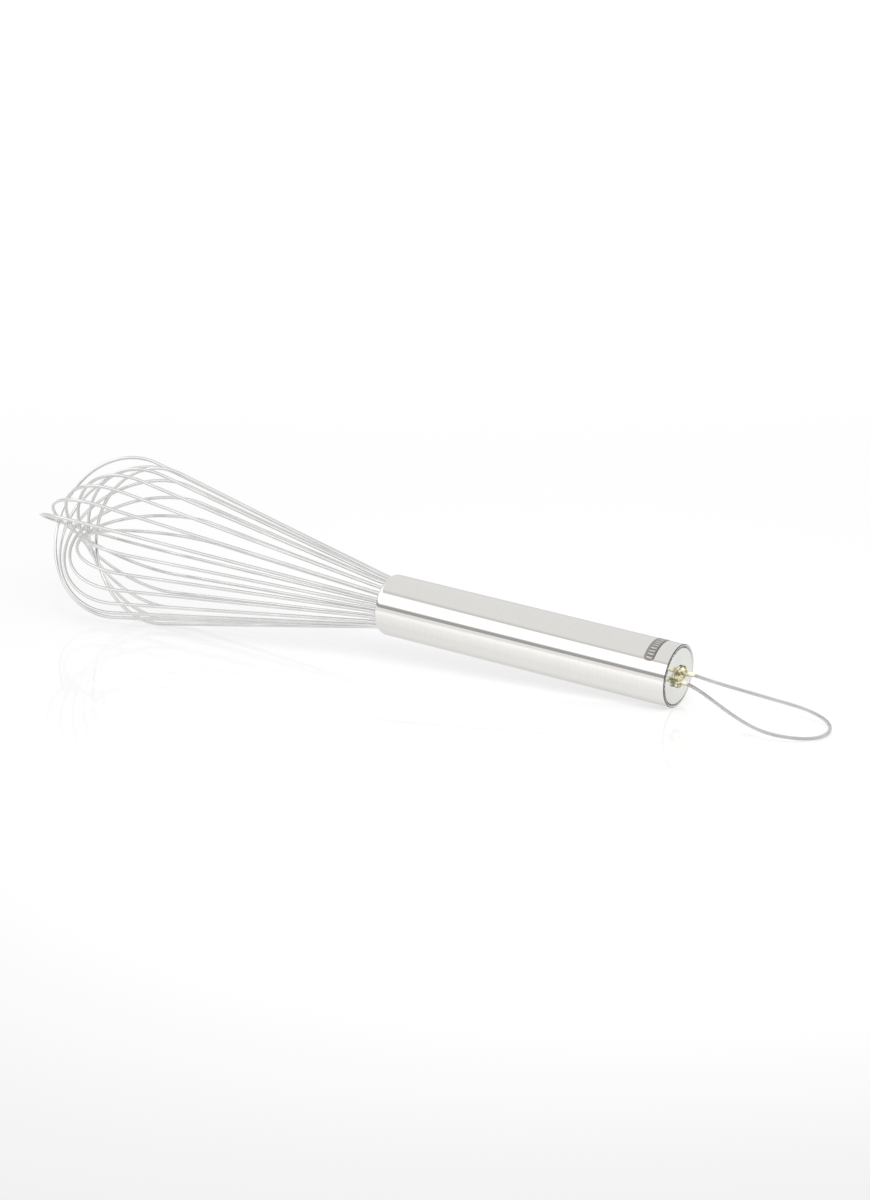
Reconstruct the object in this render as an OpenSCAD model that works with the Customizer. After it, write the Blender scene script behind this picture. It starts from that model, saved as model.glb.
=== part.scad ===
// Balloon whisk with a stainless steel tube handle, twelve nested spring-wire loops
// and a hanging loop of steel wire rope. It lies on its balloon and on the rim of its
// end cap. All lengths are in millimetres, +Z is up and the whisk lies along X, with
// the balloon at -X and the end cap at +X.

/* [Balloon] */
// Diameter of the spring wire
wire_d = 1.4; // [1:0.1:1.8]
// Distance from the end cap's face to the longest loop's tip
tip_reach = 298; // [280:1:320]
// How much further in each following loop's tip lies
tip_step = 2.24; // [1.9:0.02:2.6]
// Radius of the circle that the wires stand on at the mouth of the handle
neck_r = 10; // [9.6:0.1:10.2]
// Radius of the outward bend that each wire makes at the mouth
flare_r = 40; // [30:1:60]
// Length of wire that is held inside the handle
tail_len = 30; // [20:1:40]

/* [Handle] */
// Outer diameter of the handle tube
handle_d = 25; // [25:0.1:26]
// Length of the handle tube
handle_len = 130; // [120:1:140]
// Thickness of the tube's wall
wall = 0.7; // [0.6:0.05:0.8]
// Radius of the tube's rolled-in mouth
mouth_r = 3.5; // [3:0.1:4]
// Angle that the mouth is rolled through
mouth_turn = 45; // [30:1:48]
// Rounding of the tube's rear edge
rim_round = 0.35; // [0.2:0.05:0.35]

/* [End cap] */
// Thickness of the end cap's disc
cap_t = 2.6; // [2:0.1:4]
// Width of the sealed seam between the cap and the tube
seam_w = 0.5; // [0.3:0.05:0.7]
// Depth of the seam below the cap's face
seam_depth = 0.4; // [0.2:0.05:0.6]
// Diameter of the boss behind the disc
boss_d = 12; // [10:0.5:14]
// Length of the boss behind the disc
boss_len = 4; // [3:0.5:6]

/* [Hanging loop] */
// Diameter of the wire rope
rope_d = 1.5; // [1.2:0.1:1.8]
// Distance between the rope's two exits
exit_gap = 4.6; // [4:0.1:5]
// Turn of the line through the two exits above the horizontal
exit_turn = 36; // [0:1:60]
// Length of rope that is held inside the handle
rope_tail = 26; // [22:1:32]
// Radius of each bead of resin around a rope exit
bead_r = 2.2; // [1.8:0.1:2.4]
// How far the beads stand out from the cap's face
bead_out = 1.5; // [1.2:0.1:1.7]

/* [Resting pose] */
// Tilt of the whisk's axis when it lies on a table
rest_tilt = 4.85; // [4.5:0.05:5.2]

/* [Hidden] */
$fn = 64;

wire_r = wire_d / 2;
rope_r = rope_d / 2;
handle_r = handle_d / 2;
bore_r = handle_r - wall;

// The loops stand in planes 15 degrees apart. Each odd loop is followed by the loop
// that crosses it at a right angle, and the next pair is one plane further round.
loops = 12;
plane_step = 180 / loops;
first_plane = 22.5;
quarter_turn = 90;
// The planes are counted from the horizontal, and the profile is drawn upright
upright = 90;

// Wires start to flare just inside the mouth
flare_z = handle_len - 2;
tail_z = flare_z - tail_len;
// Air left between the potted parts, so that each stays a solid of its own
glue_gap = 0.02;
// A bead this much proud of the wire joins each straight run to the next bend, and the
// run stops this far short of the bend inside it
joint_proud = 0.03;
joint_gap = 0.05;

// Core plug and resin that pot the wires
core_r = neck_r - wire_r - glue_gap;
core_len = tail_len - 1.5;
resin_len = tail_len - 2.5;

cap_r = bore_r - seam_w;
edge_cut = 0.3;

// Ferrule that is crimped on the rope's two tails, narrower at its waist
ferrule_z = 10;
ferrule_len = 12;
ferrule_wall = 0.8;
ferrule_waist = 2.4;

// The loop of rope starts this far clear of the beads, so that its ends can turn there
loop_gap = 0.8;
loop_out = bead_out + loop_gap;
rope_sides = 8;
rings_per_span = 3;

// Position of the cap's face along X, with the origin under the middle of the whisk
cap_x = ((tip_reach - bead_out) * cos(rest_tilt) + wire_r) / 2;
cap_z = handle_r * cos(rest_tilt);

// Route of the rope from the upper exit to the lower one. X is counted from the cap's
// face and Z from the table; the loop droops until its far bend nearly touches it.
rope_route = [
    [7, 2.4, 12.7], [13, 3.4, 11.3], [22, 5.2, 9.4], [31, 7, 7.6], [40, 8.6, 5.9],
    [48, 9.4, 4.4], [55, 8.2, 2.9], [60, 5, 1.8], [63, 0, 1.1], [64, -6, 0.9],
    [62.5, -12.5, 1], [58, -18, 1.6], [51, -21.8, 2.7], [44, -22.5, 4], [37, -20.6, 5.4],
    [30, -17.2, 6.7], [22, -12.4, 8.1], [14, -7.4, 9.5], [7, -3.8, 10.6]
];

// Distance from the cap's face to the tip of loop i
function tip_z(i) = tip_reach - i * tip_step;

// Plane of loop i, in pairs that cross at a right angle
function plane_angle(i) = first_plane + plane_step * floor(i / 2) + quarter_turn * (i % 2);

// Radius of loop i, so that whichever two neighbours are lowest, the whisk lies alike
function loop_r(i) =
    (handle_r * cos(rest_tilt) - wire_r + tip_z(i) * sin(rest_tilt))
    / (cos(plane_step / 2) + sin(rest_tilt));

// Angle that a wire leaves the handle at, so that it meets its loop's arc tangentially
function flare_angle(i) =
    asin((flare_r + loop_r(i)) / norm([neck_r + flare_r, tip_z(i) - loop_r(i) - flare_z]))
    - atan2(neck_r + flare_r, tip_z(i) - loop_r(i) - flare_z);

// A point given along the whisk's own up, side and length axes, on the table
function laid(p) = [
    cap_x + p.x * sin(rest_tilt) - p.z * cos(rest_tilt),
    p.y,
    cap_z + p.x * cos(rest_tilt) + p.z * sin(rest_tilt)
];

// A rope exit on the whisk's own axes: side 1 is the upper one, side -1 the lower one
function exit_point(side, out) =
    [side * exit_gap / 2 * sin(exit_turn), side * exit_gap / 2 * cos(exit_turn), -out];

// Smooth curve through four points, at a fraction t of the way from b to c
function spline(a, b, c, d, t) =
    b + t * ((c - a) + t * ((2 * a - 5 * b + 4 * c - d) + t * (3 * (b - c) + d - a))) / 2;

// Rings of a tube of radius r along points p, kept upright
function along(p, k) = let(d = p[min(k + 1, len(p) - 1)] - p[max(k - 1, 0)]) d / norm(d);
function across(t) = let(s = cross(t, [0, 0, 1])) s / norm(s);
function ring(p, k, r, sides) = let(t = along(p, k), s = across(t), u = cross(s, t))
    [for (j = [0:sides - 1]) p[k] + r * (cos(360 * j / sides) * s + sin(360 * j / sides) * u)];

// Places a shape drawn on the whisk's own axis, with the cap's face at its origin
module lay() {
    translate([cap_x, 0, cap_z]) rotate([0, rest_tilt - 90, 0]) children();
}

// Closed tube along a list of points
module swept_tube(p, r, sides) {
    n = len(p);
    points = [for (k = [0:n - 1]) each ring(p, k, r, sides)];
    walls = [for (k = [0:n - 2], j = [0:sides - 1])
        let(a = k * sides + j, b = k * sides + (j + 1) % sides)
        [a, b, b + sides, a + sides]];
    first = [[for (j = [0:sides - 1]) sides - 1 - j]];
    last = [[for (j = [0:sides - 1]) (n - 1) * sides + j]];
    polyhedron(points = points, faces = concat(walls, first, last), convexity = 6);
}

// Arc of wire in the XZ plane, from angle a0 over a turn, around its own centre
module wire_arc(r, a0, turn) {
    rotate([90, 0, 0]) rotate([0, 0, a0])
        rotate_extrude(angle = turn, $fn = 96) translate([r, 0]) circle(r = wire_r, $fn = 32);
}

// Straight run of wire up the Z axis, with a joining bead at its far end
module wire_run(len) {
    translate([0, 0, joint_gap]) cylinder(r = wire_r, h = len - 2 * joint_gap, $fn = 32);
    translate([0, 0, len]) sphere(r = wire_r + joint_proud, $fn = 32);
}

// One leg of a loop: tail in the handle, flare at the mouth and straight taper
module wire_leg(i) {
    flare = flare_angle(i);
    taper_start = [neck_r + flare_r * (1 - cos(flare)), 0, flare_z + flare_r * sin(flare)];
    taper_end = [loop_r(i) * cos(flare), 0, tip_z(i) - loop_r(i) - loop_r(i) * sin(flare)];
    translate([neck_r, 0, tail_z]) wire_run(tail_len);
    translate([neck_r + flare_r, 0, flare_z]) wire_arc(flare_r, 180 - flare, flare);
    translate(taper_start) sphere(r = wire_r + joint_proud, $fn = 32);
    translate(taper_start) rotate([0, flare, 0]) wire_run(norm(taper_end - taper_start));
}

module wire_loop(i) {
    flare = flare_angle(i);
    color("gainsboro") lay() rotate([0, 0, plane_angle(i) - upright]) {
        wire_leg(i);
        mirror([1, 0, 0]) wire_leg(i);
        translate([0, 0, tip_z(i) - loop_r(i)]) wire_arc(loop_r(i), -flare, 180 + 2 * flare);
    }
}

// Repeats a child at each of the wires' places at the mouth
module each_wire() {
    for (k = [0:2 * loops - 1])
        rotate([0, 0, first_plane - upright + k * plane_step]) translate([neck_r, 0, 0]) children();
}

// Profile of the tube's wall: straight, with a rolled-in mouth and a rounded rear rim
module wall_profile() {
    roll_z = handle_len - mouth_r * sin(mouth_turn);
    reach = 2 * mouth_r;
    translate([bore_r, rim_round]) square([wall, roll_z - rim_round]);
    translate([bore_r, 0]) square([wall - rim_round, rim_round]);
    translate([handle_r - rim_round, rim_round]) circle(r = rim_round, $fn = 32);
    translate([handle_r - mouth_r, roll_z]) intersection() {
        difference() {
            circle(r = mouth_r);
            circle(r = mouth_r - wall);
        }
        polygon([[0, 0], [reach, 0], [reach * cos(mouth_turn), reach * sin(mouth_turn)]]);
    }
}

module handle_tube() {
    color("silver") lay() rotate_extrude($fn = 128) wall_profile();
}

module core_plug() {
    color("dimgray") lay() translate([0, 0, tail_z]) cylinder(r = core_r, h = core_len);
}

module mouth_resin() {
    color("darkkhaki") lay() translate([0, 0, tail_z]) difference() {
        cylinder(r = bore_r - glue_gap, h = resin_len);
        translate([0, 0, -1]) cylinder(r = core_r + glue_gap, h = resin_len + 2);
        translate([0, 0, -1]) each_wire() cylinder(r = wire_r + glue_gap, h = resin_len + 2, $fn = 32);
    }
}

// Repeats a child at each rope exit, on the whisk's own axis
module each_exit() {
    for (side = [1, -1]) translate(exit_point(side, 0)) children();
}

module end_cap() {
    color("lightgray") lay() difference() {
        union() {
            rotate_extrude($fn = 96) difference() {
                square([cap_r, cap_t]);
                translate([cap_r, 0]) rotate([0, 0, 45]) square(edge_cut * sqrt(2), center = true);
            }
            cylinder(d = boss_d, h = cap_t + boss_len);
        }
        translate([0, 0, -1]) each_exit() cylinder(r = rope_r + glue_gap, h = cap_t + boss_len + 2);
    }
}

module cap_seal() {
    color("dimgray") lay() translate([0, 0, seam_depth]) difference() {
        cylinder(r = bore_r - glue_gap, h = cap_t - seam_depth, $fn = 96);
        translate([0, 0, -1]) cylinder(r = cap_r + glue_gap, h = cap_t + 2, $fn = 96);
    }
}

// Straight end of the rope, from inside its bead through the cap and the ferrule
module rope_tail(side) {
    color("gray") lay() translate(exit_point(side, bead_out))
        cylinder(r = rope_r, h = rope_tail + bead_out);
}

module rope_ferrule() {
    color("silver") lay() translate([0, 0, ferrule_z]) difference() {
        union() {
            each_exit() cylinder(r = rope_r + ferrule_wall, h = ferrule_len);
            translate([0, 0, ferrule_len / 2]) rotate([0, 0, 90 - exit_turn])
                cube([exit_gap, ferrule_waist, ferrule_len], center = true);
        }
        translate([0, 0, -1]) each_exit() cylinder(r = rope_r + glue_gap, h = ferrule_len + 2);
    }
}

module rope_resin() {
    color("darkkhaki") lay() difference() {
        each_exit() translate([0, 0, bead_r - bead_out]) sphere(r = bead_r);
        cylinder(r = handle_r, h = handle_r);
        translate([0, 0, -handle_r]) each_exit() cylinder(r = rope_r + glue_gap, h = 2 * handle_r);
    }
}

module hanging_loop() {
    route = concat(
        [laid(exit_point(1, loop_out))],
        [for (p = rope_route) p + [cap_x, 0, 0]],
        [laid(exit_point(-1, loop_out))]
    );
    last = len(route) - 1;
    path = [
        for (k = [0:last - 1], j = [0:rings_per_span - 1])
            let(before = route[max(k - 1, 0)], after = route[min(k + 2, last)])
            spline(before, route[k], route[k + 1], after, j / rings_per_span),
        route[last]
    ];
    color("gray") swept_tube(path, rope_r, rope_sides);
}

wire_loop(0);  // wire_loop_01
wire_loop(1);  // wire_loop_02
wire_loop(2);  // wire_loop_03
wire_loop(3);  // wire_loop_04
wire_loop(4);  // wire_loop_05
wire_loop(5);  // wire_loop_06
wire_loop(6);  // wire_loop_07
wire_loop(7);  // wire_loop_08
wire_loop(8);  // wire_loop_09
wire_loop(9);  // wire_loop_10
wire_loop(10);  // wire_loop_11
wire_loop(11);  // wire_loop_12
handle_tube();
core_plug();
mouth_resin();
end_cap();
cap_seal();
rope_tail(1);  // rope_tail_upper
rope_tail(-1);  // rope_tail_lower
rope_ferrule();
rope_resin();
hanging_loop();
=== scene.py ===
import math
import bpy
from mathutils import Matrix, Vector


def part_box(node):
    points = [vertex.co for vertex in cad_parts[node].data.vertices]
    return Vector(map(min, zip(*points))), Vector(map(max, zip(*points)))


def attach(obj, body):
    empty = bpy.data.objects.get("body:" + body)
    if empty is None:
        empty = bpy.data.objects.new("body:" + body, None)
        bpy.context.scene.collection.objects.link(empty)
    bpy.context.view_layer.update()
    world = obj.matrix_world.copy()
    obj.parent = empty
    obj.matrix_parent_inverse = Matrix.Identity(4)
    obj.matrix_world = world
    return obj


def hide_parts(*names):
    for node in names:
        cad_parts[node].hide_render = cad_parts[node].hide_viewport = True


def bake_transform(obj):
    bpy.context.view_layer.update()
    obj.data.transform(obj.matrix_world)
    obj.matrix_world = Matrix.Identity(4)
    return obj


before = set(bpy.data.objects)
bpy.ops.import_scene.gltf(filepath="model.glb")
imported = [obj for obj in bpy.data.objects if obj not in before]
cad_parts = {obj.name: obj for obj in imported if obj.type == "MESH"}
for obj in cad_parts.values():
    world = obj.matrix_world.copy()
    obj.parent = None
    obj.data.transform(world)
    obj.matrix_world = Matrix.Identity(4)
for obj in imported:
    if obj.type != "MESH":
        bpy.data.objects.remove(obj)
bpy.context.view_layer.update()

# The whisk lies tilted: its own axis runs from the cap's face up towards the balloon
whisk = {"restTilt": 4.85, "handleRadius": 0.0125}
tilt = math.radians(whisk["restTilt"])
tubeLow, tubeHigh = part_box("handle_tube")
capCentre = Vector((tubeHigh.x - whisk["handleRadius"] * math.sin(tilt), 0,
                    tubeLow.z + whisk["handleRadius"] * math.cos(tilt)))
layDown = Matrix.Translation(capCentre) @ Matrix.Rotation(tilt - math.pi / 2, 4, "Y")


def toLinear(hexColour):
    parts = [int(hexColour[i:i + 2], 16) / 255 for i in (1, 3, 5)]
    return (*[c / 12.92 if c <= 0.04045 else ((c + 0.055) / 1.055) ** 2.4 for c in parts], 1)


def addNode(tree, kind, settings=None, inputs=None, stops=()):
    # adds a node with its settings, its values and links by socket, and a ramp's stops
    node = tree.nodes.new(kind)
    for name, value in (settings or {}).items():
        setattr(node, name, value)
    for k, (position, colour) in enumerate(stops):
        elements = node.color_ramp.elements
        stop = elements[k] if k < len(elements) else elements.new(position)
        stop.position, stop.color = position, colour
    for name, value in (inputs or {}).items():
        if isinstance(value, bpy.types.NodeSocket):
            tree.links.new(value, node.inputs[name])
        else:
            node.inputs[name].default_value = value
    return node


def startMaterial(name, **surface):
    material = bpy.data.materials.new(name)
    material.use_nodes = True
    shader = material.node_tree.nodes["Principled BSDF"]
    for socket, value in surface.items():
        shader.inputs[socket.replace("_", " ")].default_value = value
    return material, material.node_tree, shader


def grey(value):
    return (value, value, value, 1)


def onlySelect(*pieces):
    bpy.ops.object.select_all(action="DESELECT")
    for piece in pieces:
        piece.select_set(True)
    bpy.context.view_layer.objects.active = pieces[0]


def applyModifier(piece, kind, **settings):
    onlySelect(piece)
    modifier = piece.modifiers.new(kind.lower(), kind)
    for name, value in settings.items():
        setattr(modifier, name, value)
    bpy.ops.object.modifier_apply(modifier=modifier.name)


def copyTurned(piece, degrees):
    onlySelect(piece)
    bpy.ops.object.duplicate()
    copy = bpy.context.object
    copy.rotation_euler = (0, 0, math.radians(degrees))
    bpy.ops.object.transform_apply(rotation=True)
    return copy


def joinPieces(pieces):
    onlySelect(*pieces)
    bpy.ops.object.join()
    return bpy.context.object


def turnOutwards(piece):
    onlySelect(piece)
    bpy.ops.object.mode_set(mode="EDIT")
    bpy.ops.mesh.select_all(action="SELECT")
    bpy.ops.mesh.normals_make_consistent(inside=False)
    bpy.ops.object.mode_set(mode="OBJECT")


def settle(piece, name, material, place=None):
    # names the finished piece, puts its place into its mesh and smooths it
    piece.name = name
    piece.data.name = name
    if place is not None:
        piece.matrix_world = place @ piece.matrix_world
    onlySelect(piece)
    bpy.ops.object.transform_apply(location=True, rotation=True, scale=True)
    bpy.ops.object.shade_smooth_by_angle(angle=math.radians(40))
    piece.data.materials.clear()
    piece.data.materials.append(material)


cameraSettings = {"place": (0.6598, -1.0394, 0.3466), "turn": (75.246, 0, 30.818), "lens": 94.55}

cameraData = bpy.data.cameras.new("camera")
cameraData.lens = cameraSettings["lens"]
camera = bpy.data.objects.new("camera", cameraData)
camera.location = cameraSettings["place"]
camera.rotation_euler = [math.radians(a) for a in cameraSettings["turn"]]
bpy.context.scene.collection.objects.link(camera)
bpy.context.scene.camera = camera
print("Camera placed")


# Between these two shares of open sky a groove goes from painted shade to the steel's own colour
metalCloudsAndGrooveShade = {"cloudMm": 16, "grooveShade": "#2C2B2D", "sheltered": 0.12, "open": 0.42}


def polishedMetal(name, colours, roughness, grainMm, grainDepth, grooveMm=0):
    # a bright metal: a mirror, dulled by grain that is too fine to see one by one. Where a
    # groove's width is given, grooves up to that wide get painted shade, darkest where least sky reaches
    material, tree, shader = startMaterial(name, Metallic=1.0)
    where = addNode(tree, "ShaderNodeTexCoord").outputs["Object"]
    grain = addNode(tree, "ShaderNodeTexNoise", inputs={
        "Vector": where, "Scale": 1000 / grainMm, "Detail": 4.0, "Roughness": 0.6}).outputs["Fac"]
    clouds = addNode(tree, "ShaderNodeTexNoise", inputs={
        "Vector": where, "Scale": 1000 / metalCloudsAndGrooveShade["cloudMm"], "Detail": 3.0}).outputs["Fac"]
    tone = addNode(tree, "ShaderNodeValToRGB", inputs={"Fac": clouds},
                   stops=[(0.35, toLinear(colours[0])), (0.7, toLinear(colours[1]))])
    dull = addNode(tree, "ShaderNodeMapRange", inputs={
        "Value": grain, "From Min": 0.3, "From Max": 0.7,
        "To Min": roughness[0], "To Max": roughness[1]})
    bump = addNode(tree, "ShaderNodeBump", inputs={
        "Height": grain, "Strength": 0.3, "Distance": grainDepth})
    colour = tone.outputs["Color"]
    if grooveMm:
        # painted shade: ambient occlusion darkens the colour towards near black in narrow grooves
        shelter = addNode(tree, "ShaderNodeAmbientOcclusion", inputs={"Distance": grooveMm / 1000})
        unshaded = addNode(tree, "ShaderNodeMapRange", inputs={
            "Value": shelter.outputs["AO"], "From Min": metalCloudsAndGrooveShade["sheltered"],
            "From Max": metalCloudsAndGrooveShade["open"]})
        colour = addNode(tree, "ShaderNodeMix", {"data_type": "RGBA"}, {
            "Factor": unshaded.outputs["Result"], 6: toLinear(metalCloudsAndGrooveShade["grooveShade"]),
            7: colour}).outputs[2]
    tree.links.new(colour, shader.inputs["Base Color"])
    tree.links.new(dull.outputs["Result"], shader.inputs["Roughness"])
    tree.links.new(bump.outputs["Normal"], shader.inputs["Normal"])
    return material


# Spring wire, stainless, drawn through a die and tumbled bright
springWire = polishedMetal("stainlessSpringWire", ("#D8D8D7", "#E6E6E5"), (0.06, 0.14), 0.4, 0.00001)

# Wire rope, stainless: the same steel in thin wires, a little duller from stranding
# the grooves between its wires and strands get painted shade
ropeSteel = polishedMetal("stainlessWireRope", ("#DCDBDA", "#F0EFEE"), (0.12, 0.24), 0.3, 0.00001,
                           grooveMm=0.5)

# End cap, stainless, lapped flat and buffed: clearer than the tube
capSteel = polishedMetal("stainlessEndCap", ("#DADAD7", "#E1E1DD"), (0.03, 0.07), 0.5, 0.000002)

# Ferrule, aluminium, crimped: grey, with a soft oxide skin
ferruleMetal = polishedMetal("crimpedAluminium", ("#B4B5B7", "#C8C9CB"), (0.35, 0.5), 0.6, 0.00003)

for node in ("rope_tail_upper", "rope_tail_lower"):
    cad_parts[node].material_slots[0].material = ropeSteel
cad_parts["end_cap"].material_slots[0].material = capSteel
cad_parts["rope_ferrule"].material_slots[0].material = ferruleMetal


def cloudedPlastic(name, colours, roughness, clearness, patchMm, fade=None):
    # plastic that set where it is or in a mould: cloudy in tone, with a slightly uneven skin.
    # It may fade to its palest colour between two distances along an axis of the whisk
    material, tree, shader = startMaterial(name, IOR=1.55, Transmission_Weight=clearness)
    where = addNode(tree, "ShaderNodeTexCoord").outputs["Object"]
    cloud = addNode(tree, "ShaderNodeTexNoise", inputs={
        "Vector": where, "Scale": 1000 / patchMm, "Detail": 5.0, "Roughness": 0.65})
    tone = addNode(tree, "ShaderNodeValToRGB", inputs={"Fac": cloud.outputs["Fac"]}, stops=[
        (0.38, toLinear(colours[0])), (0.5, toLinear(colours[1])), (0.6, toLinear(colours[2]))])
    colour = tone.outputs["Color"]
    if fade:
        axis, start, end = fade
        back = layDown.inverted()
        local = addNode(tree, "ShaderNodeMapping", inputs={
            "Vector": where, "Location": back.to_translation(), "Rotation": back.to_euler()})
        apart = addNode(tree, "ShaderNodeSeparateXYZ", inputs={"Vector": local.outputs["Vector"]})
        thin = addNode(tree, "ShaderNodeMapRange", inputs={
            "Value": apart.outputs[axis], "From Min": start, "From Max": end, "To Max": 0.9})
        colour = addNode(tree, "ShaderNodeMix", {"data_type": "RGBA"}, {
            "Factor": thin.outputs["Result"], 6: colour, 7: toLinear(colours[2])}).outputs[2]
    gloss = addNode(tree, "ShaderNodeMapRange", inputs={
        "Value": cloud.outputs["Fac"], "To Min": roughness[0], "To Max": roughness[1]})
    bump = addNode(tree, "ShaderNodeBump", inputs={
        "Height": cloud.outputs["Fac"], "Strength": 0.4, "Distance": 0.00008})
    tree.links.new(colour, shader.inputs["Base Color"])
    tree.links.new(gloss.outputs["Result"], shader.inputs["Roughness"])
    tree.links.new(bump.outputs["Normal"], shader.inputs["Normal"])
    return material


# Epoxy left to set in the open: glossy, olive where it is thick and pale where it is thin
exitResin = cloudedPlastic("oliveEpoxy", ("#5C5740", "#A59F7A", "#DEDAC2"), (0.04, 0.16), 0.2, 1.2,
                           fade=("Z", -0.0022, -0.0040))

# Potting epoxy, amber, filled and poured: its skin is a little rough
pottingResin = cloudedPlastic("amberEpoxy", ("#4A3B1E", "#6B5730", "#8A7546"), (0.12, 0.35), 0.1, 2.5)

# Sealant, grey, wiped along a joint: dark, fading to its palest colour towards one side
sealant = cloudedPlastic("greySealant", ("#262625", "#403F3D", "#B9B6B2"), (0.25, 0.5), 0.0, 0.5,
                         fade=("Y", 0.003, 0.010))

# Nylon, black, moulded with a fine texture: an even, soft sheen
plugNylon = cloudedPlastic("blackNylon", ("#18181A", "#1E1E20", "#262628"), (0.45, 0.6), 0.0, 0.3)

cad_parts["mouth_resin"].material_slots[0].material = pottingResin
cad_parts["core_plug"].material_slots[0].material = plugNylon
print("Materials made")


rope = {
    "diameter": 0.0015, "length": 0.151, "exitGap": 0.0046, "exitTurn": 36, "beadOut": 0.0015,
    "stationsPerSpan": 10, "strands": 6, "strandLay": 0.0092, "strandWires": 6, "wireLay": 0.0032,
    "wireSides": 5, "wireSwell": 1.02, "coreSides": 8, "stepsPerWireLay": 8,
    "hingeOut": 0.0023, "bendIn": 0.018,
    # the route from the upper exit to the lower one, X counted from the cap's face
    "route": [
        (0.007, 0.0024, 0.0127), (0.013, 0.0034, 0.0113), (0.022, 0.0052, 0.0094),
        (0.031, 0.007, 0.0076), (0.040, 0.0086, 0.0059), (0.048, 0.0094, 0.0044),
        (0.055, 0.0082, 0.0029), (0.060, 0.005, 0.0018), (0.063, 0, 0.0011),
        (0.064, -0.006, 0.0009), (0.0625, -0.0125, 0.001), (0.058, -0.018, 0.0016),
        (0.051, -0.0218, 0.0027), (0.044, -0.0225, 0.004), (0.037, -0.0206, 0.0054),
        (0.030, -0.0172, 0.0067), (0.022, -0.0124, 0.0081), (0.014, -0.0074, 0.0095),
        (0.007, -0.0038, 0.0106)]}


def exitPoint(side, out):
    turn = math.radians(rope["exitTurn"])
    half = rope["exitGap"] / 2 * side
    return layDown @ Vector((half * math.sin(turn), half * math.cos(turn), -out))


def smoothPoint(a, b, c, d, t):
    return b + t * ((c - a) + t * ((2 * a - 5 * b + 4 * c - d) + t * (3 * (b - c) + d - a))) / 2


def ropePath():
    points = [Vector(p) + Vector((capCentre.x, 0, 0)) for p in rope["route"]]
    points = [exitPoint(1, rope["beadOut"]), *points, exitPoint(-1, rope["beadOut"])]
    last = len(points) - 1
    path = []
    for k in range(last):
        before, after = points[max(k - 1, 0)], points[min(k + 2, last)]
        path += [smoothPoint(before, points[k], points[k + 1], after, j / rope["stationsPerSpan"])
                 for j in range(rope["stationsPerSpan"])]
    return path + [points[last]]


def makeRope():
    path = ropePath()
    run = sum((b - a).length for a, b in zip(path, path[1:]))
    # three strands fit across the rope, the middle one being its core, and three wires across
    # a strand, whose middle wire can't be seen and is left out
    strandRadius = rope["diameter"] / 6
    wireRadius = strandRadius / 3
    # one outer wire of a strand, wound round the strand's middle
    turns = round(run / rope["wireLay"])
    bpy.ops.mesh.primitive_circle_add(vertices=rope["wireSides"], radius=wireRadius * rope["wireSwell"],
                                      fill_type="NGON", location=(2 * wireRadius, 0, 0))
    wire = bpy.context.object
    onlySelect(wire)
    bpy.ops.object.transform_apply(location=True)
    applyModifier(wire, "SCREW", angle=-2 * math.pi, screw_offset=run / turns, iterations=turns,
                  steps=rope["stepsPerWireLay"], render_steps=rope["stepsPerWireLay"])
    # the other wires make a strand of it, and the other strands a rope
    wires = [wire]
    for k in range(1, rope["strandWires"]):
        wires.append(copyTurned(wire, k * 360 / rope["strandWires"]))
    strand = joinPieces(wires)
    strand.location = (2 * strandRadius, 0, 0)
    onlySelect(strand)
    bpy.ops.object.transform_apply(location=True)
    strands = [strand]
    for k in range(1, rope["strands"]):
        strands.append(copyTurned(strand, k * 360 / rope["strands"]))
    bpy.ops.mesh.primitive_circle_add(vertices=rope["coreSides"], radius=strandRadius,
                                      fill_type="NGON")
    core = bpy.context.object
    stepsAlong = turns * rope["stepsPerWireLay"] // 2
    applyModifier(core, "SCREW", angle=0, screw_offset=run, iterations=1,
                  steps=stepsAlong, render_steps=stepsAlong)
    piece = joinPieces([*strands, core])
    lays = round(run / rope["strandLay"])
    applyModifier(piece, "SIMPLE_DEFORM", deform_method="TWIST", deform_axis="Z",
                  angle=2 * math.pi * lays)
    # laid along its route
    line = bpy.data.curves.new("ropeLine", "CURVE")
    line.dimensions = "3D"
    line.twist_mode = "MINIMUM"
    spline = line.splines.new("POLY")
    spline.points.add(len(path) - 1)
    for point, place in zip(spline.points, path):
        point.co = (*place, 1)
    guide = bpy.data.objects.new("ropeLine", line)
    bpy.context.scene.collection.objects.link(guide)
    bpy.context.view_layer.update()
    applyModifier(piece, "CURVE", object=guide, deform_axis="POS_Z")
    bpy.data.objects.remove(guide)
    turnOutwards(piece)
    settle(piece, "hanging_rope", ropeSteel)
    print("Rope laid,", round(run, 4), "m along its middle,", len(piece.data.polygons), "faces")
    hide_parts("hanging_loop")
    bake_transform(piece)


makeRope()


balloon = {
    "loops": 12, "wireDiameter": 0.0014, "tipReach": 0.298, "tipStep": 0.00224,
    "neckRadius": 0.010, "flareRadius": 0.040, "flareStart": 0.128, "tailLength": 0.030,
    "firstPlane": 22.5, "planeStep": 15, "wireSides": 16, "flareSteps": 6, "arcSteps": 60}


def loopRadius(tipZ):
    # the size at which whichever two neighbours are lowest touch the table
    wireRadius = balloon["wireDiameter"] / 2
    halfStep = math.radians(balloon["planeStep"] / 2)
    reach = whisk["handleRadius"] * math.cos(tilt) - wireRadius + tipZ * math.sin(tilt)
    return reach / (math.cos(halfStep) + math.sin(tilt))


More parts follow.
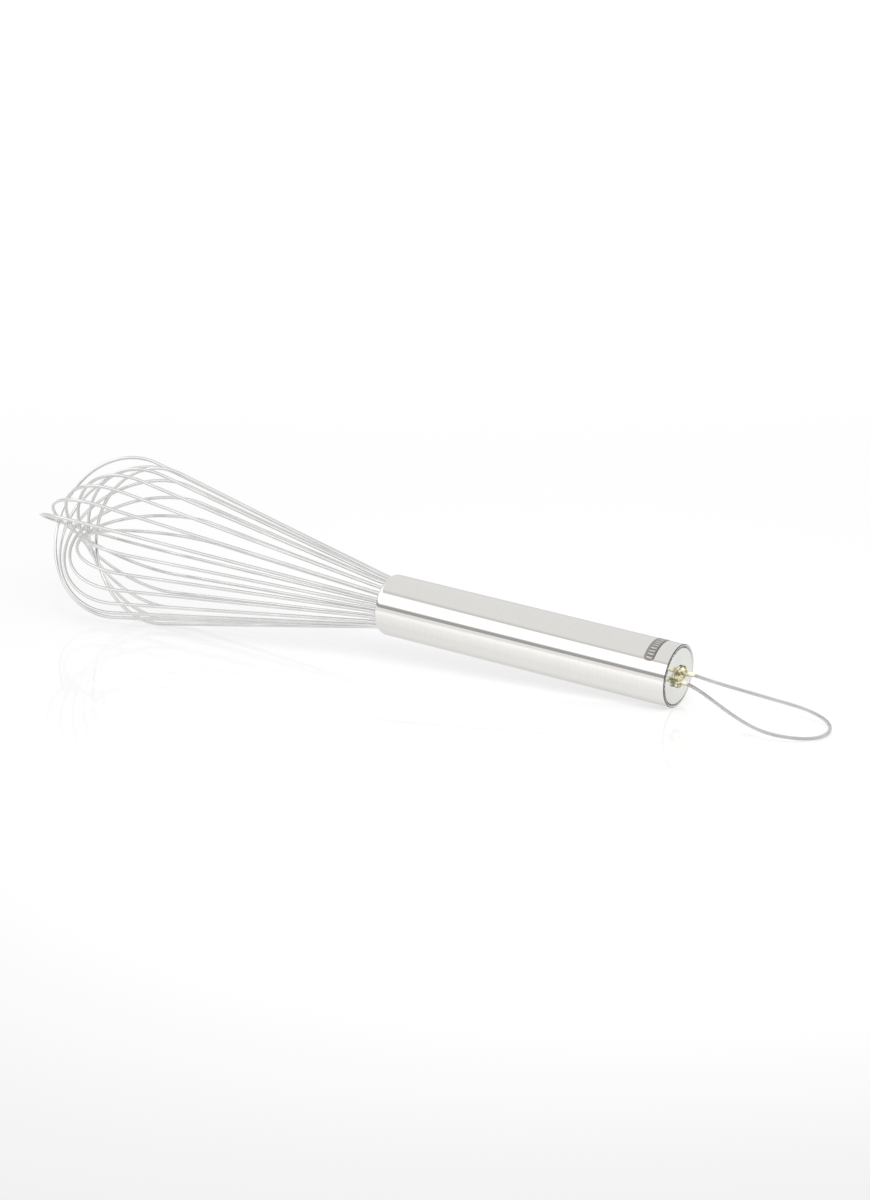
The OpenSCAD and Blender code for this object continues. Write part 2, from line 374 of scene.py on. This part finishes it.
def makeLoop(index):
    tipZ = balloon["tipReach"] - index * balloon["tipStep"]
    radius = loopRadius(tipZ)
    neck, bend, start = balloon["neckRadius"], balloon["flareRadius"], balloon["flareStart"]
    rise = tipZ - radius - start
    flare = math.asin((bend + radius) / math.hypot(neck + bend, rise)) - math.atan2(neck + bend, rise)
    taper = Vector((radius * math.cos(flare) - neck - bend * (1 - math.cos(flare)), 0,
                    rise - radius * math.sin(flare) - bend * math.sin(flare)))
    bpy.ops.object.select_all(action="DESELECT")
    bpy.ops.mesh.primitive_circle_add(
        vertices=balloon["wireSides"], radius=balloon["wireDiameter"] / 2,
        location=(neck, 0, start - balloon["tailLength"]))
    piece = bpy.context.object
    bpy.ops.object.transform_apply(location=True)
    bpy.ops.object.mode_set(mode="EDIT")
    bpy.ops.mesh.select_all(action="SELECT")
    # up the handle, out through the mouth, over the tip and back down the same way
    bpy.ops.mesh.extrude_region_move(TRANSFORM_OT_translate={"value": (0, 0, balloon["tailLength"])})
    bpy.ops.mesh.spin(steps=balloon["flareSteps"], angle=flare,
                      center=(neck + bend, 0, start), axis=(0, -1, 0))
    bpy.ops.mesh.extrude_region_move(TRANSFORM_OT_translate={"value": taper})
    bpy.ops.mesh.spin(steps=balloon["arcSteps"], angle=math.pi + 2 * flare,
                      center=(0, 0, tipZ - radius), axis=(0, 1, 0))
    bpy.ops.mesh.extrude_region_move(TRANSFORM_OT_translate={"value": (taper.x, 0, -taper.z)})
    bpy.ops.mesh.spin(steps=balloon["flareSteps"], angle=flare,
                      center=(-neck - bend, 0, start), axis=(0, -1, 0))
    bpy.ops.mesh.extrude_region_move(TRANSFORM_OT_translate={"value": (0, 0, -balloon["tailLength"])})
    bpy.ops.mesh.select_all(action="SELECT")
    bpy.ops.mesh.fill_holes(sides=0)
    bpy.ops.mesh.select_all(action="SELECT")
    bpy.ops.mesh.normals_make_consistent(inside=False)
    bpy.ops.object.mode_set(mode="OBJECT")
    plane = balloon["firstPlane"] + balloon["planeStep"] * (index // 2) + 90 * (index % 2)
    place = layDown @ Matrix.Rotation(math.radians(plane - 90), 4, "Z")
    settle(piece, f"balloon_wire_{index + 1:02d}", springWire, place)
    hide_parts(f"wire_loop_{index + 1:02d}")
    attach(piece, "whisk")


for index in range(balloon["loops"]):
    makeLoop(index)
print("Balloon bent from", balloon["loops"], "wires")


handle = {
    "length": 0.130, "wall": 0.0007, "mouthRadius": 0.0035, "mouthTurn": 45, "sides": 160,
    "rollSteps": 8, "rimBevel": 0.00028, "bevelSegments": 4, "sharpTurn": 50,
    "grainMm": 0.25, "grainStretch": 0.03, "steel": ("#E4E2DF", "#EAE8E5"), "polish": (0.035, 0.075),
    # painted shade on the rim's rounded outer edge: its width and colour
    "rimShadeWidth": 0.00034, "rimShade": "#4A4948",
    # the etched band near the cap: its middle along the tube and round it, its width,
    # its length round the tube, and the radius of its corners
    "markAlong": 0.0087, "markRound": 84, "markWide": 0.0046, "markLong": 0.0225,
    "markCorner": 0.0019, "markSoft": 0.0001, "markDull": 0.3, "markDepth": 8.0, "mark": "#A09C99",
    # the strokes left bright in it, and the deeper bite along the edge by the cap
    "strokePitch": 0.0015, "strokeLong": 0.0026, "strokeSoft": 0.0003,
    "strokes": [(0.40, "#8E8A87"), (0.62, "#ABA7A4"), (0.85, "#DDDBD8")],
    "edgeFrom": 0.0005, "edgeTo": 0.0009, "edge": "#7B7875"}


def etchedTube():
    # stainless tube, ground and buffed on a lathe: a mirror with fine lines that run round it
    material, tree, shader = startMaterial("stainlessTube", Metallic=1.0)
    back = layDown.inverted()
    where = addNode(tree, "ShaderNodeMapping", inputs={
        "Vector": addNode(tree, "ShaderNodeTexCoord").outputs["Object"],
        "Location": back.to_translation(), "Rotation": back.to_euler()}).outputs["Vector"]
    apart = addNode(tree, "ShaderNodeSeparateXYZ", inputs={"Vector": where})
    lines = addNode(tree, "ShaderNodeMapping", inputs={
        "Vector": where, "Scale": (handle["grainStretch"], handle["grainStretch"], 1)})
    grain = addNode(tree, "ShaderNodeTexNoise", inputs={
        "Vector": lines.outputs["Vector"], "Scale": 1000 / handle["grainMm"], "Detail": 4.0,
        "Roughness": 0.6}).outputs["Fac"]
    steel = addNode(tree, "ShaderNodeValToRGB", inputs={"Fac": grain}, stops=[
        (0.3, toLinear(handle["steel"][0])), (0.7, toLinear(handle["steel"][1]))]).outputs["Color"]

    # distances in metres from the band's middle, along the tube and round it
    along = addNode(tree, "ShaderNodeMath", {"operation": "SUBTRACT"}, {
        0: apart.outputs["Z"], 1: handle["markAlong"]}).outputs[0]
    front = addNode(tree, "ShaderNodeMath", {"operation": "MULTIPLY"}, {
        0: apart.outputs["Y"], 1: -1.0}).outputs[0]
    angle = addNode(tree, "ShaderNodeMath", {"operation": "ARCTAN2"}, {
        0: apart.outputs["X"], 1: front}).outputs[0]
    turned = addNode(tree, "ShaderNodeMath", {"operation": "SUBTRACT"}, {
        0: angle, 1: math.radians(handle["markRound"])}).outputs[0]
    around = addNode(tree, "ShaderNodeMath", {"operation": "MULTIPLY"}, {
        0: turned, 1: whisk["handleRadius"]}).outputs[0]
    flat = addNode(tree, "ShaderNodeCombineXYZ", inputs={"X": along, "Y": around}).outputs["Vector"]

    # distance outside a rectangle with round corners
    corner = handle["markCorner"]
    unsigned = addNode(tree, "ShaderNodeVectorMath", {"operation": "ABSOLUTE"}, {0: flat})
    beyond = addNode(tree, "ShaderNodeVectorMath", {"operation": "SUBTRACT"}, {
        0: unsigned.outputs["Vector"],
        1: (handle["markWide"] / 2 - corner, handle["markLong"] / 2 - corner, 0)})
    outside = addNode(tree, "ShaderNodeVectorMath", {"operation": "MAXIMUM"}, {
        0: beyond.outputs["Vector"], 1: (0, 0, 0)})
    reach = addNode(tree, "ShaderNodeVectorMath", {"operation": "LENGTH"}, {
        0: outside.outputs["Vector"]}).outputs["Value"]
    etched = addNode(tree, "ShaderNodeMapRange", inputs={
        "Value": reach, "From Min": corner - handle["markSoft"], "From Max": corner,
        "To Min": 1.0, "To Max": 0.0}).outputs["Result"]
    # inside it a row of plain strokes is left bright, worn unevenly, and the acid has
    # bitten deepest along the edge by the cap
    wave = addNode(tree, "ShaderNodeTexWave", {"bands_direction": "Y"}, {
        "Vector": flat, "Scale": 2 * math.pi / 20 / handle["strokePitch"], "Distortion": 2.5,
        "Detail": 3.0, "Detail Scale": 1.5}).outputs["Fac"]
    strokes = addNode(tree, "ShaderNodeValToRGB", inputs={"Fac": wave}, stops=[
        (position, toLinear(colour)) for position, colour in handle["strokes"]]).outputs["Color"]
    sideways = addNode(tree, "ShaderNodeMath", {"operation": "ABSOLUTE"}, {0: along}).outputs[0]
    past = addNode(tree, "ShaderNodeMapRange", inputs={
        "Value": sideways, "From Min": handle["strokeLong"] / 2 - handle["strokeSoft"],
        "From Max": handle["strokeLong"] / 2}).outputs["Result"]
    bite = addNode(tree, "ShaderNodeMix", {"data_type": "RGBA"}, {
        "Factor": past, 6: strokes, 7: toLinear(handle["mark"])}).outputs[2]
    edge = addNode(tree, "ShaderNodeMapRange", inputs={
        "Value": along, "From Min": handle["edgeFrom"] - handle["markWide"] / 2,
        "From Max": handle["edgeTo"] - handle["markWide"] / 2,
        "To Min": 1.0, "To Max": 0.0}).outputs["Result"]
    bitten = addNode(tree, "ShaderNodeMix", {"data_type": "RGBA"}, {
        "Factor": edge, 6: bite, 7: toLinear(handle["edge"])}).outputs[2]

    # painted shade darkens the rounded outer edge of the rim
    upDown = addNode(tree, "ShaderNodeCombineXYZ", inputs={
        "X": apart.outputs["X"], "Y": apart.outputs["Y"]}).outputs["Vector"]
    radius = addNode(tree, "ShaderNodeVectorMath", {"operation": "LENGTH"}, {0: upDown})
    rimPlace = addNode(tree, "ShaderNodeCombineXYZ", inputs={
        "X": radius.outputs["Value"], "Y": apart.outputs["Z"]}).outputs["Vector"]
    fromRim = addNode(tree, "ShaderNodeVectorMath", {"operation": "DISTANCE"}, {
        0: rimPlace, 1: (whisk["handleRadius"], 0, 0)}).outputs["Value"]
    rimShaded = addNode(tree, "ShaderNodeMapRange", inputs={
        "Value": fromRim, "From Min": handle["rimShadeWidth"] * 0.8, "From Max": handle["rimShadeWidth"] * 1.2,
        "To Min": 0.9, "To Max": 0.0}).outputs["Result"]

    marked = addNode(tree, "ShaderNodeMix", {"data_type": "RGBA"}, {
        "Factor": etched, 6: steel, 7: bitten}).outputs[2]
    colour = addNode(tree, "ShaderNodeMix", {"data_type": "RGBA"}, {
        "Factor": rimShaded, 6: marked, 7: toLinear(handle["rimShade"])}).outputs[2]
    bright = addNode(tree, "ShaderNodeMapRange", inputs={
        "Value": grain, "From Min": 0.3, "From Max": 0.7,
        "To Min": handle["polish"][0], "To Max": handle["polish"][1]}).outputs["Result"]
    dull = addNode(tree, "ShaderNodeMix", {"data_type": "FLOAT"}, {
        "Factor": etched, "A": bright, "B": handle["markDull"]}).outputs["Result"]
    # the etching is a few grains deep
    height = addNode(tree, "ShaderNodeMath", {"operation": "MULTIPLY_ADD"}, {
        0: etched, 1: -handle["markDepth"], 2: grain}).outputs[0]
    bump = addNode(tree, "ShaderNodeBump", inputs={
        "Height": height, "Strength": 0.25, "Distance": 0.000003})
    tree.links.new(colour, shader.inputs["Base Color"])
    tree.links.new(dull, shader.inputs["Roughness"])
    tree.links.new(bump.outputs["Normal"], shader.inputs["Normal"])
    return material


def makeHandle():
    outer = whisk["handleRadius"]
    roll = math.radians(handle["mouthTurn"])
    rollStart = handle["length"] - handle["mouthRadius"] * math.sin(roll)
    bpy.ops.object.select_all(action="DESELECT")
    bpy.ops.mesh.primitive_circle_add(vertices=handle["sides"], radius=outer)
    piece = bpy.context.object
    bpy.ops.object.mode_set(mode="EDIT")
    bpy.ops.mesh.select_all(action="SELECT")
    bpy.ops.mesh.extrude_region_move(TRANSFORM_OT_translate={"value": (0, 0, rollStart)})
    width = outer
    for k in range(1, handle["rollSteps"] + 1):
        before, after = roll * (k - 1) / handle["rollSteps"], roll * k / handle["rollSteps"]
        rise = handle["mouthRadius"] * (math.sin(after) - math.sin(before))
        narrow = outer - handle["mouthRadius"] * (1 - math.cos(after))
        bpy.ops.mesh.extrude_region_move(TRANSFORM_OT_translate={"value": (0, 0, rise)})
        bpy.ops.transform.resize(value=(narrow / width, narrow / width, 1))
        width = narrow
    bpy.ops.mesh.select_all(action="SELECT")
    bpy.ops.mesh.normals_make_consistent(inside=False)
    bpy.ops.object.mode_set(mode="OBJECT")
    applyModifier(piece, "SOLIDIFY", thickness=handle["wall"], offset=-1)
    applyModifier(piece, "BEVEL", width=handle["rimBevel"], segments=handle["bevelSegments"],
                  limit_method="ANGLE", angle_limit=math.radians(handle["sharpTurn"]))
    turnOutwards(piece)
    settle(piece, "handle_shell", etchedTube(), layDown)
    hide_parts("handle_tube")
    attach(piece, "whisk")


makeHandle()
print("Handle tube drawn and rolled")


seam = {"middle": 0.01155, "radius": 0.00036, "depth": 0.0003, "lumpMm": 1.6, "lump": 0.0001}


def makeSeam():
    bpy.ops.object.select_all(action="DESELECT")
    bpy.ops.mesh.primitive_torus_add(major_radius=seam["middle"], minor_radius=seam["radius"],
                                     major_segments=220, minor_segments=10,
                                     location=(0, 0, seam["depth"]))
    piece = bpy.context.object
    bpy.ops.object.transform_apply(location=True)
    lumps = bpy.data.textures.new("sealantLumps", "CLOUDS")
    lumps.noise_scale = seam["lumpMm"] / 1000
    applyModifier(piece, "DISPLACE", texture=lumps, strength=seam["lump"], mid_level=0.5)
    settle(piece, "seam_bead", sealant, layDown)
    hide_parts("cap_seal")
    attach(piece, "whisk")


makeSeam()

drops = {
    "voxel": 0.00012, "lumpMm": 1.0, "lump": 0.0005, "sleeve": 0.0040, "sleeveSteps": 9,
    # the lobes of each drop as (up, across, out, radius) from its exit
    "lobes": {
        1: [(0, 0, 0, 0.0021), (0.0013, 0.0006, 0.0006, 0.0011), (-0.0008, 0.0013, 0.0012, 0.0012),
            (-0.0016, -0.0004, 0.0008, 0.0012)],
        -1: [(0, 0, 0.0002, 0.0023), (-0.0017, 0.0007, 0.0006, 0.0013), (0.0004, -0.0015, 0.0012, 0.0013),
             (-0.0012, -0.0012, 0.0009, 0.0012), (0.0013, 0.0007, 0.0014, 0.0012)]},
    "sleeveStart": 0.0016, "sleeveEnd": 0.0008, "smoothing": 8, "faceGap": 0.00003}


def makeDrops():
    parts = []
    path = ropePath()
    for side in (1, -1):
        for up, across, out, radius in drops["lobes"][side]:
            bpy.ops.object.select_all(action="DESELECT")
            bpy.ops.mesh.primitive_ico_sphere_add(
                subdivisions=4, radius=radius,
                location=layDown.inverted() @ exitPoint(side, out) + Vector((up, across, 0)))
            parts.append(bpy.context.object)
        # the resin has climbed a little way along the rope
        leg = path if side == 1 else path[::-1]
        run, last, step = 0, leg[0], 0
        for point in leg:
            run += (point - last).length
            last = point
            if run > drops["sleeve"]:
                break
            if run >= step * drops["sleeve"] / drops["sleeveSteps"]:
                share = run / drops["sleeve"]
                bpy.ops.mesh.primitive_ico_sphere_add(
                    subdivisions=3, location=layDown.inverted() @ point,
                    radius=drops["sleeveStart"] + (drops["sleeveEnd"] - drops["sleeveStart"]) * share ** 0.5)
                parts.append(bpy.context.object)
                step += 1
    piece = joinPieces(parts)
    bpy.ops.object.transform_apply(location=True, rotation=True, scale=True)
    applyModifier(piece, "REMESH", mode="VOXEL", voxel_size=drops["voxel"])
    lumps = bpy.data.textures.new("resinLumps", "CLOUDS")
    lumps.noise_scale = drops["lumpMm"] / 1000
    applyModifier(piece, "DISPLACE", texture=lumps, strength=drops["lump"], mid_level=0.55)
    applyModifier(piece, "SMOOTH", factor=0.5, iterations=drops["smoothing"])
    onlySelect(piece)
    bpy.ops.object.mode_set(mode="EDIT")
    bpy.ops.mesh.select_all(action="SELECT")
    bpy.ops.mesh.bisect(plane_co=(0, 0, drops["faceGap"]), plane_no=(0, 0, 1),
                        clear_outer=True, use_fill=True)
    bpy.ops.object.mode_set(mode="OBJECT")
    turnOutwards(piece)
    settle(piece, "resin_drops", exitResin, layDown)
    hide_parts("rope_resin")
    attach(piece, "whisk")


makeDrops()
print("Seam and resin drops added")


studio = {
    "floorSize": 60, "floorColour": "#828282", "floorGlow": 0.555, "floorRoughness": 0.05,
    # brightness of the room by height, as the sine of the elevation: in front of the
    # whisk a wide softbox over a dark gap, and behind it an even light
    "front": [(0.0, 0.43), (0.16, 0.43), (0.25, 1.5), (0.70, 1.5), (0.745, 0.71), (0.775, 0.71),
              (0.83, 0.905), (1.0, 0.905)],
    "rear": [(0.0, 0.85), (0.25, 0.80), (0.45, 0.90), (1.0, 0.905)],
    # the dark opening that the camera looks through, as a direction and its size
    "opening": (0.47, -0.84, 0.27), "openingSize": 0.22, "openingCore": 0.7,
    "openingLight": 0.15, "sideFrom": -0.25, "sideTo": 0.35,
    "boxPlace": (0.34, -0.30, 0.42), "boxAim": (0.11, -0.03, 0), "boxSize": 0.4, "boxPower": 1.05,
    "boxSpread": 80}


def makeFloor():
    bpy.ops.object.select_all(action="DESELECT")
    bpy.ops.mesh.primitive_plane_add(size=studio["floorSize"])
    floor = bpy.context.object
    floor.name = "floor"
    # opal acrylic sheet with a little light from below: a soft gloss over plain white
    material = startMaterial(
        "opalAcrylic", Roughness=studio["floorRoughness"], IOR=1.49,
        Base_Color=toLinear(studio["floorColour"]), Emission_Color=grey(1.0),
        Emission_Strength=studio["floorGlow"])[0]
    floor.data.materials.append(material)


def makeSurroundings():
    world = bpy.data.worlds.new("softStudio")
    world.use_nodes = True
    bpy.context.scene.world = world
    tree = world.node_tree
    tree.nodes.clear()
    direction = addNode(tree, "ShaderNodeTexCoord").outputs["Generated"]
    apart = addNode(tree, "ShaderNodeSeparateXYZ", inputs={"Vector": direction})
    front, rear = [
        addNode(tree, "ShaderNodeValToRGB", inputs={"Fac": apart.outputs["Z"]},
                stops=[(position, grey(value)) for position, value in studio[name]])
        for name in ("front", "rear")]
    side = addNode(tree, "ShaderNodeMapRange", inputs={
        "Value": apart.outputs["Y"], "From Min": studio["sideFrom"], "From Max": studio["sideTo"]})
    mixed = addNode(tree, "ShaderNodeMix", {"data_type": "RGBA"}, {
        "Factor": side.outputs["Result"], 6: front.outputs["Color"], 7: rear.outputs["Color"]})
    offCentre = addNode(tree, "ShaderNodeVectorMath", {"operation": "DISTANCE"}, {
        0: direction, 1: Vector(studio["opening"]).normalized()})
    light = addNode(tree, "ShaderNodeMapRange", inputs={
        "Value": offCentre.outputs["Value"],
        "From Min": studio["openingSize"] * studio["openingCore"],
        "From Max": studio["openingSize"], "To Min": studio["openingLight"]})
    glow = addNode(tree, "ShaderNodeBackground", inputs={
        "Color": mixed.outputs[2], "Strength": light.outputs["Result"]})
    addNode(tree, "ShaderNodeOutputWorld", inputs={"Surface": glow.outputs["Background"]})


def makeSoftbox():
    # fills the shadow in front of the handle
    place, aim = Vector(studio["boxPlace"]), Vector(studio["boxAim"])
    bpy.ops.object.light_add(type="AREA", location=place,
                             rotation=(aim - place).to_track_quat("-Z", "Y").to_euler())
    softbox = bpy.context.object
    softbox.name = "softbox"
    softbox.data.size = studio["boxSize"]
    softbox.data.energy = studio["boxPower"]
    softbox.data.spread = math.radians(studio["boxSpread"])
    softbox.visible_camera = False
    softbox.visible_glossy = False


makeFloor()
makeSurroundings()
makeSoftbox()
bpy.context.scene.view_settings.view_transform = "Standard"
print("Studio set")
